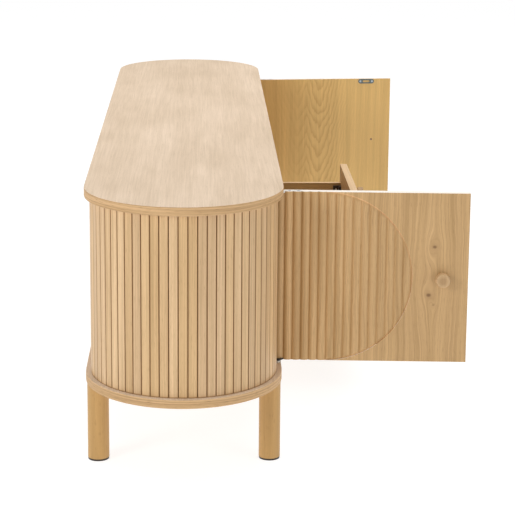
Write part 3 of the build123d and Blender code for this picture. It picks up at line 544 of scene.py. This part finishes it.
def oak_door(name, joint_name, side):
    """A door: its outer face, its inner face and its paler edges, with a painted highlight on the level
    ones.
    """
    graph = Graph(name, 0.5)
    u, v, w, along = door_axes(graph, joint_name, side)
    outside, height = door_outside(graph, u, v, w, side)
    inside = door_inside(graph, u, w, side)
    _, _, up = graph.split(graph.normal)
    level = graph.absolute(up)
    upright = graph.absolute(graph.dot(graph.normal, along))
    edge = graph.above(graph.math("MAXIMUM", upright, level), EDGE_FACING)
    # Pale edge banding, and a painted highlight that makes the level top and bottom edges near white
    banding_and_highlight = graph.mix(level, srgb(232, 208, 176), srgb(253, 245, 233))
    banding_and_highlight_color, _ = grain(graph, u, v, w, banding_and_highlight, contrast=0.5)
    face = graph.mix(graph.above(v, DOOR_INSIDE), outside, inside)
    return graph.finish(graph.mix(edge, face, banding_and_highlight_color), height, depth=0.00012, strength=0.35)


# Where a knob's painted shade gives way to its paler rim, as a share of its radius, and the seed of its
# grain
DISH_SHADE_FROM = 0.35
KNOB_SEED = 11.0


def oak_knob(name, node, joint_name, side):
    """A turned door knob: its face has painted shade in the middle and a painted highlight at the rim,
    for its dish.
    """
    graph = Graph(name, 0.48)
    u, v, w, along = door_axes(graph, joint_name, side)
    pivot = joints[joint_name]["pos_m"]
    low_corner, high_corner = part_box(node)
    middle = (low_corner + high_corner) / 2
    beside = graph.sub(u, (middle - Vector(pivot)).dot(along))
    above = graph.sub(w, middle.z - pivot[2])
    radius = graph.math("SQRT", graph.squares(beside, above))
    reach = (high_corner.z - low_corner.z) / 2
    # Painted shade and highlight: darker in the middle of the face and paler at its rim
    dish_shade = graph.span(radius, reach * DISH_SHADE_FROM, reach)
    base = graph.mix(dish_shade, srgb(174, 139, 96), srgb(202, 168, 124))
    color, height = grain(graph, w, graph.add(u, v), side * KNOB_SEED, base, contrast=1.6,
                          blotch=0.05, fine=520.0)
    return graph.finish(color, height)


# Metal's scratches, in features per metre along X, Y and Z, and how far they change the roughness
SCRATCH_SCALES = (900.0, 120.0, 900.0)
SCRATCH_RANGE = (0.3, 0.7)
SMOOTHER = 0.06
ROUGHER = 0.08


def metal(name, base, roughness, brushed=0.12, metallic=1.0, shade_below=None):
    """Bare or plated metal, with fine scratches and a little unevenness in its gloss.

    Below the door pivots' height it may be painted dark, as a painted shade.
    """
    graph = Graph(name, roughness, metallic)
    scratches = graph.specks(SCRATCH_SCALES, 3.0)
    color = graph.mix(scratches, times(base, 1.0 - brushed), base)
    if shade_below:
        _, _, z = graph.split(graph.point)
        color = graph.mix(graph.below(z, joints["left_door_hinge"]["pos_m"][2]), color, shade_below)
    gloss = graph.span(scratches, *SCRATCH_RANGE, roughness - SMOOTHER, roughness + ROUGHER)
    graph.set(graph.shader.inputs["Roughness"], gloss)
    return graph.finish(color, scratches, depth=0.00003)


def plastic(name, base, roughness):
    """Moulded plastic: one colour with a faint grain in its surface."""
    graph = Graph(name, roughness)
    fine = graph.specks((700.0, 700.0, 700.0))
    return graph.finish(graph.mix(fine, times(base, 0.86), base), fine, depth=0.00005, strength=0.4)


def stone(name, base):
    """Pressed ferrite: dark grey, speckled and dull."""
    graph = Graph(name, 0.6)
    fine = graph.specks((1500.0, 1500.0, 1500.0), 3.0)
    color = graph.mix(fine, times(base, 0.6), times(base, 1.4))
    return graph.finish(color, fine, depth=0.00005, strength=0.5)


INSIDE_OAK = srgb(204, 166, 116)
INSIDE_UP = plain_oak("oak inside upright", INSIDE_OAK, 2)
INSIDE_LONG = plain_oak("oak inside long", INSIDE_OAK, 0)
# Painted highlight: the drawer's upward faces are paler than its other faces
DRAWER_TOP_HIGHLIGHT = srgb(236, 204, 162)
DRAWER_LONG = plain_oak("oak drawer long", srgb(190, 154, 102), 0, top=DRAWER_TOP_HIGHLIGHT)
DRAWER_DEEP = plain_oak("oak drawer deep", srgb(182, 149, 98), 1, top=DRAWER_TOP_HIGHLIGHT)
DRAWER_FRONT = plain_oak("oak drawer front", srgb(208, 172, 126), 0, top=srgb(232, 198, 157))
KNOB = plain_oak("oak knob", srgb(186, 151, 107), 2, contrast=1.6)
LEFT_KNOB = oak_knob("oak left knob", "left_door_knob", "left_door_hinge", -1)
RIGHT_KNOB = oak_knob("oak right knob", "right_door_knob", "right_door_hinge", 1)
GROOVE = plain_oak("stained backing", srgb(160, 108, 44), 2)
LEFT_DOOR = oak_door("oak left door", "left_door_hinge", -1)
RIGHT_DOOR = oak_door("oak right door", "right_door_hinge", 1)
# Hinge leaves: pale above, with painted shade making the lower leaves near black
LEAF = metal("hinge leaf steel", srgb(232, 230, 224), 0.5, brushed=0.06, metallic=0.2,
             shade_below=srgb(34, 31, 29))
STRIKE = metal("strike plate steel", srgb(112, 122, 120), 0.5, brushed=0.3, metallic=0.6)
BRONZED = metal("bronzed steel", srgb(150, 116, 92), 0.5, brushed=0.2, metallic=0.5)

# The finish of each material slot in the record, and of the nodes that have one of their own
SLOT_FINISH = {
    "oak_board": oak_board(),
    "oak_slat": oak_slat(),
    "oak_door": LEFT_DOOR,
    "oak_inside": INSIDE_UP,
    "oak_leg": oak_leg(),
    "beech": plain_oak("beech", srgb(206, 160, 112), 0, contrast=0.6),
    "black_steel": metal("black steel", srgb(38, 36, 34), 0.42),
    "zinc_steel": metal("zinc steel", srgb(176, 184, 190), 0.34),
    "black_plastic": plastic("black plastic", srgb(52, 40, 30), 0.45),
    "nylon": plastic("nylon", srgb(226, 222, 212), 0.4),
    "ferrite": stone("ferrite", srgb(64, 62, 62)),
}
NODE_FINISH = {
    "right_door": RIGHT_DOOR,
    "left_door": LEFT_DOOR,
    "niche_shelf": INSIDE_LONG,
    "back_panel": INSIDE_LONG,
    "left_compartment_shelf": INSIDE_LONG,
    "right_compartment_shelf": INSIDE_LONG,
    "drawer_front": DRAWER_FRONT,
    "left_end_backing": GROOVE,
    "right_end_backing": GROOVE,
    "left_door_knob": LEFT_KNOB,
    "right_door_knob": RIGHT_KNOB,
    "drawer_knobs": KNOB,
    "drawer_back": DRAWER_LONG,
    "drawer_bottom": DRAWER_LONG,
    "drawer_left_side": DRAWER_DEEP,
    "drawer_right_side": DRAWER_DEEP,
    "left_door_hinge_leaves": LEAF,
    "right_door_hinge_leaves": LEAF,
    "left_strike_plate": STRIKE,
    "right_strike_plate": STRIKE,
    "left_door_knob_screw": BRONZED,
    "right_door_knob_screw": BRONZED,
}
for name, item in frame["nodes"].items():
    finishes = item.data.materials
    for index, material in enumerate(finishes):
        finishes[index] = NODE_FINISH.get(name) or SLOT_FINISH[material.name]

# The floor: half its length, its grey, and its own glow, which keeps it pale
FLOOR_HALF = 40
FLOOR_GREY = 0.35
FLOOR_GLOW = 0.79
floor_mesh = bpy.data.meshes.new("floor")
corners = [(x * FLOOR_HALF, y * FLOOR_HALF, 0) for x, y in ((-1, -1), (1, -1), (1, 1), (-1, 1))]
floor_mesh.from_pydata(corners, [], [(0, 1, 2, 3)])
floor = bpy.data.objects.new("floor", floor_mesh)
bpy.context.scene.collection.objects.link(floor)
floor_graph = Graph("pale floor", 0.9)
for socket, value in (
    ("Base Color", (FLOOR_GREY, FLOOR_GREY, FLOOR_GREY, 1.0)),
    ("Emission Color", (1.0, 1.0, 1.0, 1.0)),
    ("Emission Strength", FLOOR_GLOW),
    ("Specular IOR Level", 0.0),
):
    floor_graph.shader.inputs[socket].default_value = value
floor_mesh.materials.append(floor_graph.material)

# The studio's light all round: heights from the horizon up, and the brightness at each
SKY = ((0.05, 1.0), (0.18, 0.22), (0.6, 0.22), (0.95, 1.1))
world = bpy.data.worlds.new("studio")
world.use_nodes = True
world_tree = world.node_tree
world_point = world_tree.nodes.new("ShaderNodeTexCoord")
world_axes = world_tree.nodes.new("ShaderNodeSeparateXYZ")
world_ramp = world_tree.nodes.new("ShaderNodeValToRGB")
world_sky = world_tree.nodes["Background"]
world_tree.links.new(world_point.outputs["Generated"], world_axes.inputs[0])
world_tree.links.new(world_axes.outputs["Z"], world_ramp.inputs["Fac"])
world_tree.links.new(world_ramp.outputs["Color"], world_sky.inputs["Color"])
stops = world_ramp.color_ramp.elements
stops[0].position = SKY[0][0]
stops[1].position = SKY[-1][0]
for height, _ in SKY[1:-1]:
    stops.new(height)
for stop, (_, level) in zip(stops, SKY):
    stop.color = (level, level, level, 1.0)
bpy.context.scene.world = world
bpy.context.scene.view_settings.view_transform = "Standard"


def soft_light(name, place, aim, size, watts):
    """A large square light at a place, turned towards a point."""
    lamp = bpy.data.lights.new(name, "AREA")
    lamp.size = size
    lamp.energy = watts
    holder = bpy.data.objects.new(name, lamp)
    holder.location = place
    holder.rotation_euler = (Vector(aim) - Vector(place)).to_track_quat("-Z", "Y").to_euler()
    bpy.context.scene.collection.objects.link(holder)


soft_light("key", place=(-3.3, 3.1, 2.0), aim=(-0.7, 0.1, 0.35), size=1.6, watts=58)
soft_light("overhead", place=(0.7, -0.1, 3.4), aim=(0.5, 0.0, 0.4), size=3.0, watts=57)
soft_light("fill", place=(-3.0, -3.0, 1.6), aim=(-0.5, -0.1, 0.3), size=2.0, watts=26)


def aim_camera():
    """The camera's axes from its yaw, pitch and roll.

    With all three at zero it looks along +X, with -Y to its right.
    """
    forward = Vector((
        math.cos(CAMERA_YAW) * math.cos(CAMERA_PITCH),
        math.sin(CAMERA_YAW) * math.cos(CAMERA_PITCH),
        -math.sin(CAMERA_PITCH),
    ))
    level = Vector((math.sin(CAMERA_YAW), -math.cos(CAMERA_YAW), 0))
    upward = level.cross(forward)
    right = level * math.cos(CAMERA_ROLL) + upward * math.sin(CAMERA_ROLL)
    up = upward * math.cos(CAMERA_ROLL) - level * math.sin(CAMERA_ROLL)
    return Matrix((right, up, -forward)).transposed()


camera_data = bpy.data.cameras.new("camera")
camera_data.sensor_width = SENSOR_WIDTH
camera_data.lens = CAMERA_FOCUS / IMAGE_WIDTH * SENSOR_WIDTH
camera_data.shift_y = CAMERA_SHIFT
camera = bpy.data.objects.new("camera", camera_data)
camera.matrix_world = Matrix.Translation(CAMERA_AT) @ aim_camera().to_4x4()
bpy.context.scene.collection.objects.link(camera)
bpy.context.scene.camera = camera
